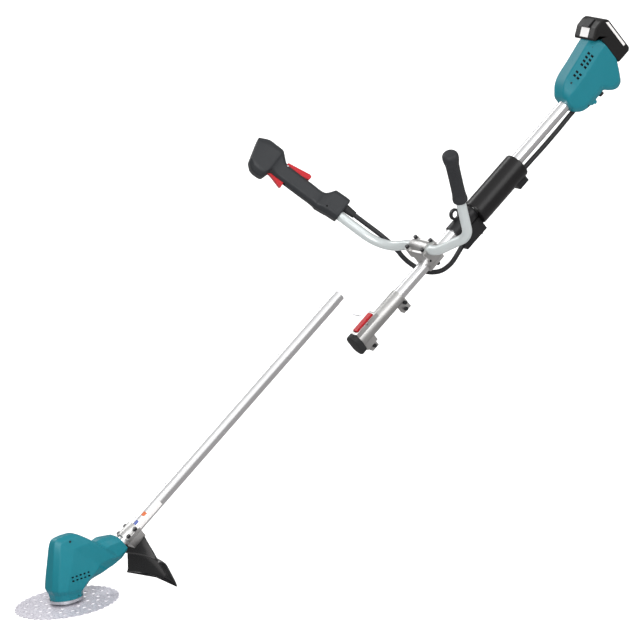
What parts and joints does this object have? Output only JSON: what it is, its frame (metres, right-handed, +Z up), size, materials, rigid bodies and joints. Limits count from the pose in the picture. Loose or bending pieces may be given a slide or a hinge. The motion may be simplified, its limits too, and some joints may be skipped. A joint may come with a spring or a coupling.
{
  "type": "brush cutter",
  "caption": "Battery brush cutter with a two-piece shaft lying undone, U-shaped handlebar with trigger grip, motor head with toothed disc blade and guard.",
  "frame": {"origin": "centre of the hole of the harness eye on the rear half of the shaft", "axes": "+X along the shaft from the cutting head towards the battery, +Z up from the shaft, so -Y is the operator's left"},
  "size_m": [1.9732, 0.5952, 0.4253],
  "materials": {
    "bare_tube": "drawn and clear anodised, bright",
    "cast_metal": "die cast, satin",
    "black_bolts": "black oxide",
    "steel_pins": "ground",
    "steel_trim": "zinc plated",
    "black_plastic": "moulded, fine grain",
    "black_rubber": "moulded rubber",
    "cable_sleeve": "smooth sleeve",
    "pad_foam": "closed cell foam",
    "teal_shell": "moulded, satin grain",
    "charcoal_shell": "moulded, satin grain",
    "circuit_board": "coated board",
    "painted_bar": "light grey powder coat",
    "grip_rubber": "soft moulded grip",
    "cell_wrap": "shrink sleeve",
    "red_plastic": "moulded, satin",
    "guard_plastic": "moulded, satin",
    "motor_iron": "stacked sheet",
    "blade_steel": "stamped and ground"
  },
  "bodies": {
    "rear_half": {"rear_pipe": "bare_tube", "coupling_body": "cast_metal", "coupling_bolts": "black_bolts", "lever_pin": "steel_pins", "coupling_connector": "black_plastic", "handle_clamp_body": "cast_metal", "handle_clamp_cap": "cast_metal", "clamp_cap_screws": "black_bolts", "handle_clamp_base": "cast_metal", "clamp_base_screws": "black_bolts", "hanger_band": "black_plastic", "hanger_eye": "black_bolts", "control_cable": "cable_sleeve", "hip_pad": "pad_foam", "pad_clip_front": "black_plastic", "pad_clip_rear": "black_plastic", "pad_screws": "steel_pins", "rear_housing_left": "teal_shell", "rear_housing_right": "teal_shell", "housing_screws": "black_bolts", "controller_board": "circuit_board", "battery_terminal": "black_plastic", "housing_foot": "black_rubber", "handlebar": "painted_bar", "left_grip": "grip_rubber", "trigger_case_left": "charcoal_shell", "trigger_case_right": "charcoal_shell", "case_screws": "black_bolts", "lever_pins": "steel_pins", "switch_unit": "black_plastic", "cable_boot": "black_rubber"},
    "battery": {"battery_case_outer": "charcoal_shell", "battery_case_inner": "charcoal_shell", "battery_cells": "cell_wrap"},
    "battery_button": {"battery_button": "black_plastic"},
    "trigger": {"trigger": "red_plastic"},
    "lock_lever": {"lock_lever": "red_plastic"},
    "coupling_lever": {"coupling_lever": "red_plastic"},
    "socket_cap": {"socket_cap": "black_rubber"},
    "front_half": {"front_pipe": "bare_tube", "pipe_end_plug": "black_plastic", "guard_bracket_upper": "cast_metal", "guard_bracket_lower": "cast_metal", "guard_bolts": "black_bolts", "guard": "guard_plastic", "motor_lead": "cable_sleeve", "head_housing_left": "teal_shell", "head_housing_right": "teal_shell", "head_screws": "black_bolts", "motor_stator": "motor_iron", "lower_bearing": "steel_pins", "upper_bearing": "steel_pins", "dust_ring": "steel_trim"},
    "rotor": {"spindle": "steel_pins", "motor_rotor": "motor_iron", "receiver_washer": "steel_trim", "clamp_washer": "steel_trim", "blade_nut": "steel_trim", "blade": "blade_steel"}
  },
  "joints": [
    {"name": "line_up", "type": "slide", "parent": "rear_half", "child": "socket_cap", "axis": [0, 0.4852, -0.8744], "range_m": [0, 0.19785]},
    {"name": "insert", "type": "slide", "parent": "socket_cap", "child": "front_half", "axis": [1, 0, 0], "range_m": [0, 0.075]},
    {"name": "blade_spin", "type": "hinge", "parent": "front_half", "child": "rotor", "pos_m": [-1.308, -0.096, 0.1495], "axis": [0.5131, 0, 0.8583], "continuous": true},
    {"name": "trigger_pull", "type": "hinge", "parent": "rear_half", "child": "trigger", "pos_m": [-0.17072, 0.28745, 0.26057], "axis": [0, -0.8534, 0.5213], "range_deg": [0, 14], "stiffness_Nm_per_rad": 0.6, "springref_deg": -17.19},
    {"name": "lock_press", "type": "hinge", "parent": "rear_half", "child": "lock_lever", "pos_m": [-0.13863, 0.27722, 0.24383], "axis": [0, 0.8534, -0.5213], "range_deg": [0, 8], "stiffness_Nm_per_rad": 0.5, "springref_deg": -17.19},
    {"name": "coupling_lever_press", "type": "hinge", "parent": "rear_half", "child": "coupling_lever", "pos_m": [-0.332, 0, -0.0088], "axis": [0, 1, 0], "range_deg": [0, 8], "stiffness_Nm_per_rad": 1, "springref_deg": -17.19},
    {"name": "battery_slide", "type": "slide", "parent": "rear_half", "child": "battery", "axis": [0, 0, 1], "range_m": [0, 0.09]},
    {"name": "battery_button_press", "type": "slide", "parent": "battery", "child": "battery_button", "axis": [0, 0, -1], "range_m": [0, 0.003], "stiffness_N_per_m": 800, "springref_m": -0.003}
  ]
}
